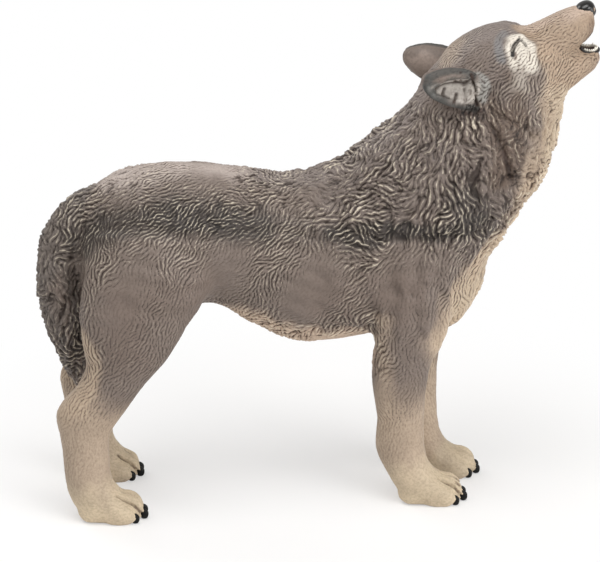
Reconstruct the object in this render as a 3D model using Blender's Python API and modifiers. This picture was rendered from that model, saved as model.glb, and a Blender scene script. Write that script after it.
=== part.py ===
"""A howling wolf figurine, cast in one piece of solid vinyl and painted.

The wolf faces +X with +Z up, and stands on four flat soles at Z = 0, with the
middle of its outline above the origin. All sizes are in millimetres until the
meshes are made. The body is roughed out from lofts, each a row of cuts: a cut
is an oval that runs from one outline point to the opposite one. The lofts are
fused into one skin, smoothed, combed into locks of fur, and cut flat below.
"""

import math

import bmesh
import bpy
import numpy as np
from mathutils import Matrix, Vector

MM = 0.001

# Landmarks in the middle plane, as (x, z), and the half widths that the legs stand at.
# The loin runs from the middle of the body back to the rump.
BODY = (0.0, 44.0)
SKULL = (28.0, 76.0)
LOIN_LENGTH = 41.2
TAIL_HEIGHT = 51.0
TAIL_ROOT = 3.2
FORE_X = 12.8
FORE_STANCE = 5.7
FORE_STEP = 3.6
HIND_STANCE = 9.0
HOCK_REACH = 0.8
HIND_STEP = 0.9
ELBOW_HEIGHT = 30.0
HOCK_HEIGHT = 19.2

# Half widths at the widest cut of each mass
CHEST_HALF_WIDTH = 11.6
RUFF_HALF_WIDTH = 13.0
CHEEK_HALF_WIDTH = 9.6
MUZZLE_HALF_WIDTH = 4.3
TAIL_HALF_WIDTH = 3.9

# Paws
PAW_LENGTH = 12.2
PAW_HALF_WIDTH = 4.0
PAW_HEIGHT = 6.4
TOE_RADIUS = 1.55
CLAW_LENGTH = 1.8
CLAW_WIDTH = 1.05

# Ears
EAR_LENGTH = 11.6
EAR_WIDTH = 7.4
EAR_WALL = 1.3
EAR_SPREAD = 8.2
EAR_HOLLOW = 1.9
EAR_SHIFT = (1.0, 1.7)

# Head details
EYE_SPREAD = 5.0
EYE_RADIUS = 1.5
NOSE_WIDTH = 3.5

# Mesh fineness
RING_SIDES = 40
RINGS_PER_CUT = 5
ROUGH_VOXEL = 0.5
FINE_VOXEL = 0.3
ROUGH_SMOOTHING = 14
FINE_SMOOTHING = 3
MOST_TRIANGLES = 9400

# How far the locks of fur stand out, and how long they are
RUFF_LOCK_DEPTH = 1.0
FLANK_LOCK_DEPTH = 0.45
TAIL_LOCK_DEPTH = 0.7
RUFF_LOCK_LENGTH = 9.0
FLANK_LOCK_LENGTH = 8.0


def new_collection(name):
    found = bpy.data.collections.new(name)
    bpy.context.scene.collection.children.link(found)
    return found


def clear_scene():
    for old in list(bpy.data.objects):
        bpy.data.objects.remove(old)


def curve_through(rows, per_span):
    """Rows of numbers with more rows between them, on a Catmull-Rom curve."""
    rows = np.asarray(rows, float)
    padded = np.vstack([2 * rows[0] - rows[1], rows, 2 * rows[-1] - rows[-2]])
    found = []
    for i in range(1, len(rows)):
        p0, p1, p2, p3 = padded[i - 1 : i + 3]
        for t in np.arange(per_span) / per_span:
            found.append(
                0.5 * (2 * p1 + (p2 - p0) * t + (2 * p0 - 5 * p1 + 4 * p2 - p3) * t**2
                       + (3 * p1 - p0 - 3 * p2 + p3) * t**3)
            )
    return np.vstack([found, rows[-1]])


def mesh_object(name, bm, collection):
    bmesh.ops.recalc_face_normals(bm, faces=bm.faces)
    mesh = bpy.data.meshes.new(name)
    bm.to_mesh(mesh)
    bm.free()
    made = bpy.data.objects.new(name, mesh)
    collection.objects.link(made)
    return made


def loft(name, cuts, collection, at=(0.0, 0.0), y=0.0, mirror=1.0):
    """A closed body through cuts of (x1, z1, x2, z2, y, half width, taper).

    The first point of a cut is its upper or rear end. Taper makes that end
    wider where it is above 0 and narrower where it is below.
    """
    bm = bmesh.new()
    rings = []
    for x1, z1, x2, z2, side, half_width, taper in curve_through(cuts, RINGS_PER_CUT):
        middle = Vector((at[0] + (x1 + x2) / 2, mirror * (y + side), at[1] + (z1 + z2) / 2))
        half = Vector(((x1 - x2) / 2, 0, (z1 - z2) / 2))
        ring = []
        for k in range(RING_SIDES):
            turn = 2 * math.pi * k / RING_SIDES
            across = half_width * math.sin(turn) * (1 + taper * math.cos(turn))
            ring.append(bm.verts.new((middle + half * math.cos(turn) + Vector((0, across, 0))) * MM))
        rings.append(ring)
    for a, b in zip(rings, rings[1:]):
        for k in range(RING_SIDES):
            bm.faces.new((a[k], a[k - 1], b[k - 1], b[k]))
    bm.faces.new(rings[0])
    bm.faces.new(reversed(rings[-1]))
    return mesh_object(name, bm, collection)


def ellipsoid(name, centre, radii, collection, turn=(0.0, 0.0, 0.0), sides=16):
    """A ball of three radii, turned by angles in degrees about X, then Y, then Z."""
    bm = bmesh.new()
    bmesh.ops.create_uvsphere(bm, u_segments=sides, v_segments=sides // 2 + 1, radius=1)
    place = Matrix.Translation(Vector(centre) * MM)
    for axis, angle in zip("ZYX", reversed(turn)):
        place = place @ Matrix.Rotation(math.radians(angle), 4, axis)
    place = place @ Matrix.Diagonal((*(Vector(radii) * MM), 1))
    bmesh.ops.transform(bm, matrix=place, verts=bm.verts)
    return mesh_object(name, bm, collection)


# The masses of the body

def trunk(collection):
    w = CHEST_HALF_WIDTH
    loin = LOIN_LENGTH
    cuts = [
        (-loin, 5.0, -loin, -1.0, 0, w * 0.22, 0),
        (-loin * 0.95, 11.0, -loin * 0.955, -7.0, 0, w * 0.62, 0),
        (-loin * 0.825, 14.6, -loin * 0.835, -10.5, 0, w * 0.84, 0),
        (-loin * 0.655, 15.9, -loin * 0.655, -10.5, 0, w * 0.92, 0),
        (-loin * 0.485, 15.6, -loin * 0.475, -8.2, 0, w * 0.86, 0.05),
        (-loin * 0.315, 14.6, -loin * 0.305, -12.0, 0, w * 0.86, 0.05),
        (-loin * 0.145, 13.5, -loin * 0.135, -15.2, 0, w * 0.94, 0),
        (1.0, 15.0, 1.0, -15.6, 0, w, 0),
        (8.0, 17.2, 8.0, -14.6, 0, w * 1.02, 0),
        (15.0, 16.6, 15.0, -14.8, 0, w * 0.96, 0.05),
        (20.8, 13.0, 20.8, -14.4, 0, w * 0.8, 0.05),
        (24.9, 7.6, 24.9, -10.2, 0, w * 0.58, 0),
        (27.2, 2.0, 27.2, -4.6, 0, w * 0.25, 0),
    ]
    return loft("trunk", cuts, collection, BODY)


def neck(collection):
    """The thick ruff, from the withers and breastbone to the back of the head."""
    w = RUFF_HALF_WIDTH
    low = np.array(BODY)
    high = np.array(SKULL)
    cuts = [
        (*(low + (-3.0, 11.5)), *(low + (16.5, -11.0)), 0, w * 0.82, -0.05),
        (*(low + (2.8, 15.5)), *(low + (24.4, -7.6)), 0, w * 0.95, -0.05),
        (*(low + (7.5, 19.6)), *(low + (28.6, 0.5)), 0, w, -0.05),
        (*(high + (-16.5, -9.9)), *(high + (5.6, -23.8)), 0, w * 0.98, -0.08),
        (*(high + (-13.9, -7.1)), *(high + (9.4, -17.6)), 0, w * 0.92, -0.08),
        (*(high + (-12.1, -4.0)), *(high + (11.0, -11.6)), 0, w * 0.84, -0.05),
        (*(high + (-9.6, -0.4)), *(high + (12.0, -7.4)), 0, w * 0.74, 0),
        (*(high + (-6.0, 2.5)), *(high + (11.6, -5.0)), 0, w * 0.6, 0),
    ]
    return loft("neck", cuts, collection)


def head(collection):
    """The skull with its cheeks, then the two jaws, parted as in a howl."""
    w = CHEEK_HALF_WIDTH
    skull = [
        (-9.8, -0.6, 1.0, -13.5, 0, w * 0.84, 0),
        (-6.8, 3.3, 6.0, -11.5, 0, w * 0.98, 0),
        (-2.8, 5.7, 10.2, -8.2, 0, w, 0.05),
        (1.2, 6.7, 12.4, -5.6, 0, w * 0.88, 0.15),
        (4.6, 6.1, 13.2, -4.2, 0, w * 0.71, 0.2),
        (7.4, 6.6, 14.2, -2.8, 0, w * 0.56, 0.1),
        (9.4, 7.8, 14.2, -2.4, 0, w * 0.4, 0),
    ]
    m = MUZZLE_HALF_WIDTH
    upper = [
        (5.0, 5.8, 11.6, -1.2, 0, m * 1.3, 0),
        (8.0, 7.2, 12.8, 1.2, 0, m * 1.12, 0),
        (11.4, 8.8, 14.0, 2.6, 0, m, 0.05),
        (14.0, 9.7, 15.4, 3.9, 0, m * 0.92, 0.05),
        (15.8, 9.4, 16.5, 5.0, 0, m * 0.78, 0.1),
        (16.7, 8.4, 17.0, 6.2, 0, m * 0.4, 0),
    ]
    lower = [
        (10.0, 2.0, 13.2, -4.0, 0, m * 1.2, -0.1),
        (13.8, 3.0, 15.1, -2.5, 0, m * 0.96, -0.1),
        (16.2, 2.9, 17.1, -1.0, 0, m * 0.76, 0),
        (17.7, 2.6, 18.1, 0.6, 0, m * 0.42, 0),
    ]
    x, z = SKULL
    brows = [
        ellipsoid(name, (x + 3.6, side * EYE_SPREAD * 0.86, z + 4.5), (2.8, 1.7, 1.2), collection, (18 * side, 6, -12 * side))
        for name, side in (("right_brow", -1), ("left_brow", 1))
    ]
    return brows + [
        loft("skull", skull, collection, SKULL),
        loft("upper_jaw", upper, collection, SKULL),
        loft("lower_jaw", lower, collection, SKULL),
    ]


def fore_leg(name, side, step, collection):
    """Side is -1 for the right leg and 1 for the left; step moves its paw forward."""
    up = BODY[1]
    elbow = ELBOW_HEIGHT
    cuts = [
        (-6.5, up, 9.0, up + 3.0, 0.8, 5.4, 0),
        (-6.0, elbow + 6.0, 8.8, elbow + 7.0, 1.7, 5.0, 0),
        (-4.8, elbow + 0.5, 6.8, elbow - 0.5, 1.9, 4.4, 0),
        (-5.3, elbow - 4.5, 5.0, elbow - 3.5, 1.6, 4.0, 0),
        (-5.0, elbow * 0.7, 4.1, elbow * 0.7, 1.2, 3.7, 0),
        (-4.2, elbow * 0.53, 3.9, elbow * 0.53, 0.7, 3.5, 0),
        (-4.4, elbow * 0.4, 4.0, elbow * 0.4, 0.3, 3.5, 0),
        (-4.2, elbow * 0.31, 4.2, elbow * 0.32, 0, 3.7, 0),
        (-2.7, elbow * 0.2, 5.0, elbow * 0.23, 0, 3.8, 0),
        (-0.8, 2.6, 7.4, 4.2, 0, 3.9, 0),
        (1.4, 0.2, 8.6, 1.4, 0, 3.4, 0),
    ]
    steps = np.array(cuts, float)
    share = np.clip(1 - (steps[:, 1] - elbow) / (up - elbow), 0, 1)
    steps[:, 0] += step * share
    steps[:, 2] += step * share
    return loft(name, steps, collection, (FORE_X, 0), FORE_STANCE, side)


def hind_leg(name, side, step, collection):
    up = BODY[1]
    hock = HOCK_HEIGHT
    cuts = [
        (2.4, up + 7.0, 19.0, up + 6.0, -2.8, 5.0, 0),
        (-0.4, up - 1.0, 21.2, up - 2.0, -1.4, 5.6, 0),
        (-1.0, up - 8.0, 18.2, up - 7.6, -0.5, 5.3, 0),
        (-0.6, hock + 11.8, 15.8, hock + 13.4, 0, 4.7, 0),
        (-0.2, hock + 8.2, 13.4, hock + 9.4, 0, 4.2, 0),
        (-2.4, hock + 4.2, 9.6, hock + 5.0, 0, 3.7, 0),
        (-5.4, hock + 0.4, 6.0, hock - 0.2, 0, 3.4, 0),
        (-4.9, hock * 0.82, 3.8, hock * 0.82, 0, 3.3, 0),
        (-4.5, hock * 0.66, 3.5, hock * 0.62, 0, 3.2, 0),
        (-4.2, hock * 0.46, 3.6, hock * 0.5, 0, 3.3, 0),
        (-3.8, hock * 0.28, 4.0, hock * 0.36, 0, 3.6, 0),
        (-2.4, 2.2, 5.8, 4.4, 0, 3.8, 0),
        (-0.4, 0.2, 6.8, 1.4, 0, 3.4, 0),
    ]
    steps = np.array(cuts, float)
    share = np.clip(1 - (steps[:, 1] - hock) / (up - hock), 0, 1)
    steps[:, 0] += step * share
    steps[:, 2] += step * share
    return loft(name, steps, collection, (HOCK_REACH - LOIN_LENGTH, 0), HIND_STANCE, side)


def tail(collection):
    w = TAIL_HALF_WIDTH
    cuts = [
        (-1.0, 5.6, 4.5, -1.0, 0, w * 0.8, 0),
        (-6.0, 2.4, 1.0, -4.5, 0, w * 0.84, 0),
        (-9.6, -3.6, -1.0, -7.0, 0, w * 0.92, 0),
        (-10.4, -8.8, -1.9, -10.6, 0, w, 0),
        (-10.0, -14.4, -2.2, -14.8, 0, w, 0),
        (-9.1, -19.2, -2.0, -19.6, 0, w * 0.94, 0),
        (-7.3, -24.0, -1.8, -25.0, 0, w * 0.74, 0),
        (-5.1, -28.6, -2.4, -29.2, 0, w * 0.44, 0),
        (-3.9, -31.4, -3.1, -31.6, 0, w * 0.14, 0),
    ]
    return loft("tail", cuts, collection, (TAIL_ROOT - LOIN_LENGTH, TAIL_HEIGHT))


def paw(name, heel_x, y, collection):
    """The flat of a paw, from its pad behind to where the toes begin."""
    w = PAW_HALF_WIDTH
    h = PAW_HEIGHT
    length = PAW_LENGTH
    cuts = [
        (0.2, 2.2, 0.2, 0.8, 0, w * 0.35, 0),
        (1.6, h * 0.5, 1.6, -0.4, 0, w * 0.76, 0),
        (length * 0.36, h * 0.94, length * 0.36, -0.7, 0, w * 0.96, 0),
        (length * 0.54, h * 0.86, length * 0.54, -0.7, 0, w, 0),
        (length * 0.68, h * 0.64, length * 0.68, -0.6, 0, w * 0.86, 0),
        (length * 0.78, h * 0.36, length * 0.78, 0.2, 0, w * 0.5, 0),
    ]
    made = [loft(name, cuts, collection, (heel_x, 0), y, 1)]
    # Four toes: the middle two reach further forward than the outer two.
    for k, across in enumerate((-1.0, -0.34, 0.34, 1.0)):
        outer = abs(across) > 0.5
        reach = length * (0.87 if outer else 1.0) - CLAW_LENGTH * 0.4
        tall = 1.0 if outer else 1.2
        splay = 9 * across
        made.append(ellipsoid(
            f"{name}_toe_{k}",
            (heel_x + reach - TOE_RADIUS * 2.1, y + across * (w - TOE_RADIUS * 0.8), TOE_RADIUS * 1.1 * tall),
            (TOE_RADIUS * 2.1, TOE_RADIUS * 0.93, TOE_RADIUS * 1.45 * tall), collection, (0, 12, splay)))
    return made


def claws(name, heel_x, y, collection):
    made = []
    for k, across in enumerate((-1.0, -0.34, 0.34, 1.0)):
        outer = abs(across) > 0.5
        reach = PAW_LENGTH * (0.87 if outer else 1.0) - CLAW_LENGTH * 0.55
        made.append(ellipsoid(
            f"{name}_claw_{k}",
            (heel_x + reach, y + across * (PAW_HALF_WIDTH - TOE_RADIUS * 0.7), CLAW_LENGTH * 0.55),
            (CLAW_LENGTH * 0.6, CLAW_WIDTH * 0.5, CLAW_LENGTH * 0.42), collection, (0, 35, 8 * across), 8))
    return made


def ears(collection):
    """Both ears, laid back along the neck with their openings to the side."""
    made = []
    for name, side, back, down in (("right_ear", -1, 0.0, 0.0), ("left_ear", 1, EAR_SHIFT[0], EAR_SHIFT[1])):
        w = EAR_WIDTH
        reach = EAR_LENGTH
        cuts = [
            (-1.4, w * 0.0, -2.4, -w * 0.58, -1.4, 2.0, 0),
            (-reach * 0.3, w * 0.22, -reach * 0.3, -w * 0.62, 0, 2.5, 0),
            (-reach * 0.56, w * 0.32, -reach * 0.58, -w * 0.56, 0.7, 2.3, 0),
            (-reach * 0.8, w * 0.31, -reach * 0.84, -w * 0.36, 1.2, 1.8, 0),
            (-reach * 0.95, w * 0.24, -reach * 0.99, -w * 0.1, 1.5, 1.1, 0),
            (-reach, w * 0.15, -reach * 1.02, w * 0.05, 1.6, 0.6, 0),
        ]
        at = (SKULL[0] - 1.2 - back, SKULL[1] - down)
        made.append(loft(name, cuts, collection, at, EAR_SPREAD, side))
    return made


def ear_hollows(collection):
    made = []
    for name, side, back, down in (("right_hollow", -1, 0.0, 0.0), ("left_hollow", 1, EAR_SHIFT[0], EAR_SHIFT[1])):
        middle = (SKULL[0] - 1.2 - back - EAR_LENGTH * 0.5, side * (EAR_SPREAD + 3.2), SKULL[1] - down - EAR_WIDTH * 0.15)
        radii = (EAR_LENGTH * 0.42, EAR_HOLLOW + 0.8, EAR_WIDTH * 0.46 - EAR_WALL)
        made.append(ellipsoid(name, middle, radii, collection, (0, -4, -6 * side), 12))
    return made


def nose(collection):
    x, z = SKULL
    radii = (NOSE_WIDTH * 0.47, NOSE_WIDTH * 0.52, NOSE_WIDTH * 0.4)
    return ellipsoid("nose", (x + 15.5, 0, z + 8.9), radii, collection, (0, -24, 0))


def eye_slits(collection):
    """The line of each shut eye, bent downwards at both ends."""
    made = []
    x, z = SKULL
    for name, side in (("right", -1), ("left", 1)):
        for end, forward, tilt in (("rear", -0.75, -62), ("front", 0.85, 34)):
            middle = (x + 4.1 + forward, side * EYE_SPREAD, z + 4.9)
            radii = (EYE_RADIUS * 0.95, 1.4, 0.28)
            made.append(ellipsoid(f"{name}_eye_{end}", middle, radii, collection, (0, tilt, 0), 8))
    return made


def mouth_gap(collection):
    """The wedge between the jaws, open at the front and closed at the lip corner."""
    w = MUZZLE_HALF_WIDTH * 1.6
    x, z = SKULL
    outline = [(13.8, 3.0), (15.6, 4.4), (17.0, 6.1), (22.0, 9.0), (24.0, 3.2), (18.2, 2.5), (16.6, 2.1), (15.0, 2.3)]
    bm = bmesh.new()
    face = bm.faces.new([bm.verts.new(((x + a) * MM, -w * MM, (z + b) * MM)) for a, b in outline])
    swept = bmesh.ops.extrude_face_region(bm, geom=[face])
    bmesh.ops.translate(bm, vec=(0, 2 * w * MM, 0), verts=[v for v in swept["geom"] if isinstance(v, bmesh.types.BMVert)])
    return mesh_object("mouth_gap", bm, collection)


def joined(name, pieces, collection):
    bm = bmesh.new()
    for piece in pieces:
        bm.from_mesh(piece.data)
        bpy.data.objects.remove(piece)
    return mesh_object(name, bm, collection)


def fuse(name, pieces, voxel, smoothing, collection):
    """One closed skin over all the pieces, with its creases smoothed."""
    skin = joined(name, pieces, collection)
    remesh = skin.modifiers.new("Skin", "REMESH")
    remesh.mode = "VOXEL"
    remesh.voxel_size = voxel * MM
    smooth = skin.modifiers.new("Smooth", "SMOOTH")
    smooth.factor = 0.5
    smooth.iterations = round(smoothing)
    return applied(skin)


def applied(thing):
    """The same object with its modifiers worked into its mesh."""
    view = bpy.context.evaluated_depsgraph_get()
    mesh = bpy.data.meshes.new_from_object(thing.evaluated_get(view))
    thing.modifiers.clear()
    thing.data = mesh
    return thing


def cut(skin, cutter, operation="DIFFERENCE"):
    boolean = skin.modifiers.new(cutter.name, "BOOLEAN")
    boolean.operation = operation
    boolean.solver = "EXACT"
    boolean.object = cutter
    return applied(skin)


def smoothstep(low, high, value):
    t = np.clip((value - low) / (high - low), 0, 1)
    return t * t * (3 - 2 * t)


def comb(skin, start, end, width, locks, length, depth, turn=0.0):
    """Locks of fur that run from start to end, in rows round the line between.

    Width is how far from the line the fur reaches. Each lock swells towards
    its tip, narrows to a point there, and drops to the root of the next one.
    """
    count = len(skin.data.vertices)
    flat = np.empty(count * 3)
    skin.data.vertices.foreach_get("co", flat)
    points = flat.reshape(-1, 3) / MM
    flat = np.empty(count * 3)
    skin.data.vertices.foreach_get("normal", flat)
    normals = flat.reshape(-1, 3)
    start = np.array([start[0], 0, start[1]])
    line = np.array([end[0], 0, end[1]]) - start
    span = np.linalg.norm(line)
    line /= span
    side = np.cross(line, (0, 1, 0))
    off = points - start
    along = off @ line
    out = off @ side
    far = np.hypot(out, off[:, 1])
    angle = np.arctan2(off[:, 1], out) / (2 * np.pi)
    across = angle * locks + 0.3 * np.sin(along / length * 2.1 + turn) + turn * along / length
    row = np.floor(across)
    place = across - row
    stagger = np.modf(np.abs(np.sin((row % locks) * 12.9898 + locks)) * 437.585)[0]
    run = along / length + stagger
    run -= np.floor(run)
    broad = 1 - 0.75 * smoothstep(0.62, 1.0, run)
    ridge = np.clip(1 - ((2 * place - 1) / broad) ** 2, 0, 1) * (0.4 + 0.6 * run)
    inside = smoothstep(0, length * 0.5, along) * (1 - smoothstep(span - length * 0.5, span, along))
    inside *= 1 - smoothstep(width * 0.85, width, far)
    points += normals * (depth * (ridge - 0.45) * inside)[:, None]
    skin.data.vertices.foreach_set("co", (points * MM).ravel())
    skin.data.update()


def comb_all(coat):
    """Locks down the ruff, back along the flanks, and down the tail."""
    nape = (SKULL[0] - 5.5, SKULL[1] + 3.0)
    comb(coat, nape, (FORE_X + 1.7, BODY[1] - 15.0), 23.0, 20, RUFF_LOCK_LENGTH, RUFF_LOCK_DEPTH, 0.1)
    comb(coat, (FORE_X + 7.2, BODY[1] + 2.0), (-LOIN_LENGTH, BODY[1] + 2.0), 18.0, 24,
         FLANK_LOCK_LENGTH, FLANK_LOCK_DEPTH, 0.15)
    root = TAIL_ROOT - LOIN_LENGTH
    comb(coat, (root - 2.0, TAIL_HEIGHT + 7.0), (root - 4.5, TAIL_HEIGHT - 33.0), 9.0, 8,
         FLANK_LOCK_LENGTH, TAIL_LOCK_DEPTH, 0.2)


def ground(collection):
    """A block below Z = 0, which cuts the paws off flat."""
    length = (LOIN_LENGTH + FORE_X + PAW_LENGTH) * 2
    width = (HIND_STANCE + PAW_HALF_WIDTH) * 3
    depth = PAW_HEIGHT * 3
    bm = bmesh.new()
    bmesh.ops.create_cube(bm, size=1)
    bmesh.ops.scale(bm, vec=(length * MM, width * MM, depth * MM), verts=bm.verts)
    bmesh.ops.translate(bm, vec=(0, 0, -depth / 2 * MM), verts=bm.verts)
    return mesh_object("ground", bm, collection)


def lighten(skin):
    """Brings the mesh down to its triangle count, then closes up slivers."""
    bm = bmesh.new()
    bm.from_mesh(skin.data)
    triangles = sum(len(face.verts) - 2 for face in bm.faces)
    bm.free()
    decimate = skin.modifiers.new("Lighten", "DECIMATE")
    decimate.ratio = min(1.0, MOST_TRIANGLES / triangles)
    return applied(skin)


def centre(skin):
    """Puts the middle of the outline above the origin and the soles at Z = 0."""
    corners = np.array([v.co for v in skin.data.vertices])
    low = corners.min(0)
    high = corners.max(0)
    middle = (low + high) / 2
    skin.data.transform(Matrix.Translation((-middle[0], -middle[1], -low[2])))


def paint(skin):
    material = bpy.data.materials.new("painted_vinyl")
    material.use_nodes = True
    shader = material.node_tree.nodes["Principled BSDF"]
    shader.inputs["Base Color"].default_value = (0.20, 0.165, 0.135, 1)
    shader.inputs["Roughness"].default_value = 0.62
    shader.inputs["Metallic"].default_value = 0.0
    skin.data.materials.clear()
    skin.data.materials.append(material)


def main():
    clear_scene()
    parts = new_collection("wolf_figurine")
    cutters = new_collection("cutters")
    paws = []
    masses = [trunk(parts), neck(parts), tail(parts)] + head(parts)
    tips = []
    for name, side, step in (("right", -1, 0.0), ("left", 1, 1.0)):
        masses.append(fore_leg(name + "_fore_leg", side, step * FORE_STEP, parts))
        masses.append(hind_leg(name + "_hind_leg", side, step * HIND_STEP, parts))
        for leg, heel, y in (
            ("fore", FORE_X - 0.6 + step * FORE_STEP, side * FORE_STANCE),
            ("hind", HOCK_REACH - LOIN_LENGTH - 2.2, side * HIND_STANCE),
        ):
            paws += paw(f"{name}_{leg}_paw", heel, y, parts)
            tips += claws(f"{name}_{leg}", heel, y, parts)
    rough = fuse("rough", masses, ROUGH_VOXEL, ROUGH_SMOOTHING, parts)
    coat = fuse("coat", [rough] + paws, FINE_VOXEL, FINE_SMOOTHING, parts)
    comb_all(coat)
    wolf = fuse("wolf", [coat, nose(parts)] + ears(parts), FINE_VOXEL, 1, parts)
    wolf = lighten(wolf)
    wolf = cut(wolf, joined("claws", tips, cutters), "UNION")
    for cutter in [mouth_gap(cutters)] + ear_hollows(cutters) + eye_slits(cutters) + [ground(cutters)]:
        wolf = cut(wolf, cutter)
    centre(wolf)
    paint(wolf)
    for cutter in cutters.objects:
        cutter.hide_render = True
        cutter.display_type = "WIRE"


main()
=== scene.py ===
"""Looks of the howling wolf figurine: its carved and painted coat, and the studio it stands in.

The figurine's skin comes from its CAD solid. It is remeshed finely and smoothed, and
folds are pressed into it. Locks and strands of fur are then laid over it, along a field
of fur directions, and paint goes on in strokes. The coat is cut into closed pieces.
Sizes are in millimetres unless they say otherwise, in the part's own frame: the wolf
faces +X, its left side is +Y, and its soles stand at Z = 0.
"""

import itertools
import math

import bmesh
import bpy
import numpy as np
from mathutils import Matrix, Vector
from mathutils.bvhtree import BVHTree


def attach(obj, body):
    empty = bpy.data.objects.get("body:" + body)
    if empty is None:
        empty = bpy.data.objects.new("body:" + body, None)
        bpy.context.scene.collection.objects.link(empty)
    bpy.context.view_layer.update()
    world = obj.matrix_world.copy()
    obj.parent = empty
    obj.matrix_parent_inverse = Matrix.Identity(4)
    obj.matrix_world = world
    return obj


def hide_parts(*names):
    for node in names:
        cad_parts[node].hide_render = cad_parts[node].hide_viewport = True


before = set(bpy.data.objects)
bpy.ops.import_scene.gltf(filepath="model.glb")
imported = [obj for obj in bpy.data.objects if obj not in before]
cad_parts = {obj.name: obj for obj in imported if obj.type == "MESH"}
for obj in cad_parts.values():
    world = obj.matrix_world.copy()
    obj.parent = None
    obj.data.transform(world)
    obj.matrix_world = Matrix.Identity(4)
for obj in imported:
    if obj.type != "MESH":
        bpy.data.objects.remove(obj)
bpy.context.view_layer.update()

MM = 0.001
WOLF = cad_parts["wolf"]
RANDOM = np.random.default_rng(7)

# The middle of the left ear, and how it is moved from the right one's mirror image
LEFT_EAR = np.array((20.4, 10.4, 73.0))
LEFT_EAR_SHIFT = np.array((-1.0, 0.0, -1.7))

# Fineness of the skin
FORM_VOXEL = 0.34
COAT_VOXEL = 0.2
FORM_SMOOTHING = 12

# Locks: their length and width as shares of the table's, and how often they overlap
LOCK_LENGTH = 1.25
LOCK_WIDTH = 1.45
LOCK_COVER = 3.6
LOCK_RISE = 1.2
LOCK_MIDDLE = 0.55  # the relief that stays level with the form
SHAGGY = (0.26, 0.46)  # the heights of fur between which hair turns into locks

# Strands: their length as a share of the table's, the distance between two ridges (a
# part that is the same all over, and a share of the width), and how often they overlap
STRAND_LENGTH = 0.62
STRAND_GAP = (0.24, 0.60)
STRAND_COVER = 4.0
STRAND_RISE = (0.04, 0.31)
STRAND_MIDDLE = 0.6

# Where the coat is cut into pieces
HEAD_CUT = (24.0, 68.0)
RUFF_CUT = (13.0, 54.0)
CHEST_X = 4.0
FORE_LEG_TOP = 34.5
HAUNCH_X = -17.5
HIND_LEG_X = -20.0
HIND_LEG_TOP = 31.0

# The nose leather: its middle and its half sizes
NOSE_AT = (44.6, 0.0, 84.9)
NOSE_SIZE = (1.7, 1.95, 1.55)

# The camera of the photograph, in millimetres and degrees
CAMERA_YAW = 4.5
CAMERA_DROP = 20.5
CAMERA_DISTANCE = 600.0
CAMERA_AIM = (-2.8, 0.0, 38.5)
CAMERA_WIDTH_SEEN = 101.4

# The line of claws on each paw, and its toes from there, along X and Y
PAWS = ((23.0, -5.7), (26.6, 5.7), (-31.8, -9.0), (-31.8, 9.0))
TOES = ((0.0, -2.91), (1.59, -0.99), (1.59, 0.99), (0.0, 2.91))

# Each lamp's name, place, aim, width and power
LAMPS = (
    ("top", (-40, -120, 420), (0, 0, 45), 300, 0.95),
    ("front", (260, -330, 260), (10, 0, 45), 260, 0.7),
    ("low", (350, -150, 60), (15, 0, 45), 200, 0.3),
    ("back", (-260, 240, 260), (-10, 0, 45), 240, 0.35),
)

# Colours, as they look on a screen
SILVER = (0.74, 0.69, 0.66)
GREY_BROWN = (0.485, 0.435, 0.403)
WARM_BROWN = (0.45, 0.39, 0.355)
CHEEK_BROWN = (0.40, 0.34, 0.30)
DARK_GREY = (0.26, 0.235, 0.222)
SMOKE = (0.55, 0.51, 0.49)
RUFF_GREY = (0.46, 0.415, 0.39)
TAN = (0.745, 0.665, 0.578)
CREAM = (0.85, 0.78, 0.665)
PALE = (0.90, 0.87, 0.82)
MUZZLE_TAN = (0.665, 0.58, 0.495)
BRIDGE = (0.79, 0.705, 0.64)
THROAT = (0.85, 0.775, 0.675)
EAR_GREY = (0.275, 0.283, 0.277)
EAR_RIM_HIGHLIGHT = (0.61, 0.608, 0.59)
EAR_BACK = (0.62, 0.56, 0.52)
EAR_PALE = (0.73, 0.705, 0.675)
BLUE_GREY = (0.50, 0.51, 0.52)
EAR_BROWN = (0.27, 0.20, 0.175)
EYE_BROWN = (0.40, 0.31, 0.26)
TAIL_GREY = (0.43, 0.40, 0.38)
LIP = (0.10, 0.075, 0.07)
MOUTH = (0.16, 0.085, 0.075)
TOOTH = (0.93, 0.91, 0.86)
BLACK = (0.035, 0.033, 0.032)
CLAW = (0.02, 0.02, 0.02)
CLAW_WORN = (0.05, 0.048, 0.046)
BELLY = (0.84, 0.745, 0.66)
PATCH = (0.40, 0.35, 0.31)
WASH = (0.36, 0.295, 0.26)
BRUSH = (0.92, 0.875, 0.785)
SKY = (1.0, 0.985, 0.97)
FLOOR = (0.93, 0.925, 0.92)
WHITE = (1, 1, 1, 1)


def linear(colour):
    """A screen colour as a renderer counts it."""
    return tuple(c / 12.92 if c <= 0.04045 else ((c + 0.055) / 1.055) ** 2.4 for c in colour)


def smoothstep(low, high, value):
    """0 below low, 1 above high, and a soft step between them."""
    t = np.clip((value - low) / (high - low), 0, 1)
    return t * t * (3 - 2 * t)


def unit(vectors):
    """The same directions with length 1."""
    return vectors / np.maximum(np.linalg.norm(vectors, axis=-1, keepdims=True), 1e-9)


def waves(points, size, turn):
    """Smooth noise between about -1 and 1, whose bumps are about this size across."""
    rng = np.random.default_rng(turn)
    total = np.zeros(len(points))
    for k in range(7):
        way = unit(rng.normal(size=3))
        pace = 2 * np.pi / (size * rng.uniform(1.4, 2.8))
        total += np.sin(points @ way * pace + rng.uniform(0, 2 * np.pi))
    return total / 3.2


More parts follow.
